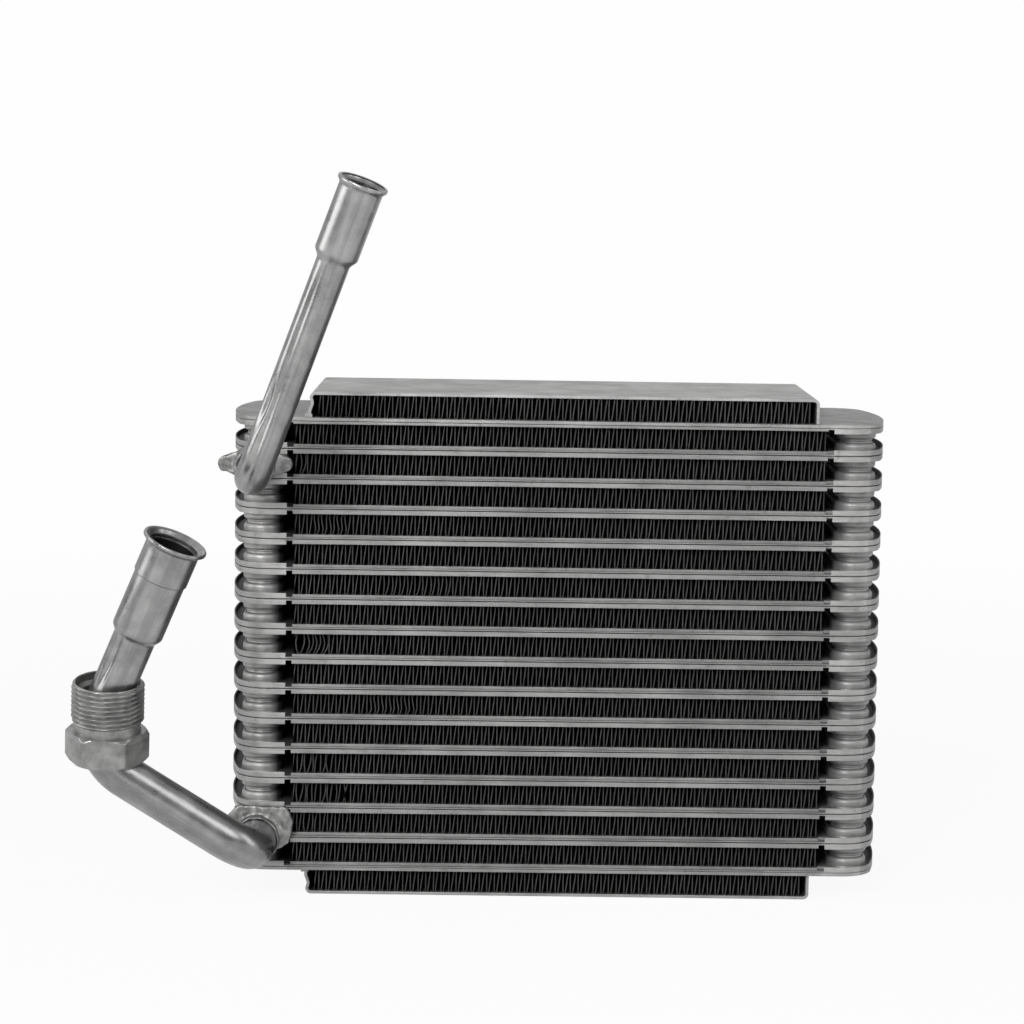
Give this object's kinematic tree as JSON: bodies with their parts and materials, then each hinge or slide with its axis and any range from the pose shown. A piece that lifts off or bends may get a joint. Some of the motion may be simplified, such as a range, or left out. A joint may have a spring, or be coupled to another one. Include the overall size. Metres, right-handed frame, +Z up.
{
  "type": "evaporator core",
  "caption": "Laminated aluminium evaporator core: stacked flat tubes with folded fins between them, stacked-cup tanks at both ends, and two bent pipes, one with a captive union nut.",
  "frame": {"origin": "on the underside of the bottom side plate, midway between the two tanks", "axes": "+X along the tubes towards the tank without pipes, -Y is the front where the pipes leave, +Z up through the stack"},
  "size_m": [0.3115, 0.1522, 0.279],
  "materials": {
    "tube_plates": "brazed sheet, dull, slightly stained",
    "fins": "thin folded sheet, dull",
    "side_plates": "pressed sheet, dull",
    "saddles": "brazed body, dull",
    "pipes": "drawn tube, satin",
    "nut": "turned from bar, worn"
  },
  "bodies": {
    "core": {"upper_plate_01": "tube_plates", "upper_plate_02": "tube_plates", "upper_plate_03": "tube_plates", "upper_plate_04": "tube_plates", "upper_plate_05": "tube_plates", "upper_plate_06": "tube_plates", "upper_plate_07": "tube_plates", "upper_plate_08": "tube_plates", "upper_plate_09": "tube_plates", "upper_plate_10": "tube_plates", "upper_plate_11": "tube_plates", "upper_plate_12": "tube_plates", "upper_plate_13": "tube_plates", "upper_plate_14": "tube_plates", "upper_plate_15": "tube_plates", "upper_plate_16": "tube_plates", "lower_plate_01": "tube_plates", "lower_plate_02": "tube_plates", "lower_plate_03": "tube_plates", "lower_plate_04": "tube_plates", "lower_plate_05": "tube_plates", "lower_plate_06": "tube_plates", "lower_plate_07": "tube_plates", "lower_plate_08": "tube_plates", "lower_plate_09": "tube_plates", "lower_plate_10": "tube_plates", "lower_plate_11": "tube_plates", "lower_plate_12": "tube_plates", "lower_plate_13": "tube_plates", "lower_plate_14": "tube_plates", "lower_plate_15": "tube_plates", "lower_plate_16": "tube_plates", "fin_01": "fins", "fin_02": "fins", "fin_03": "fins", "fin_04": "fins", "fin_05": "fins", "fin_06": "fins", "fin_07": "fins", "fin_08": "fins", "fin_09": "fins", "fin_10": "fins", "fin_11": "fins", "fin_12": "fins", "fin_13": "fins", "fin_14": "fins", "fin_15": "fins", "fin_16": "fins", "fin_17": "fins", "top_side_plate": "side_plates", "bottom_side_plate": "side_plates", "upper_saddle": "saddles", "lower_saddle": "saddles", "upper_pipe": "pipes", "lower_pipe": "pipes"},
    "nut": {"union_nut": "nut"}
  },
  "joints": [
    {"name": "nut_turn", "type": "hinge", "parent": "core", "child": "nut", "pos_m": [-0.16811, -0.0816, 0.0602], "axis": [0.0349, -0.1735, 0.9842], "continuous": true}
  ]
}
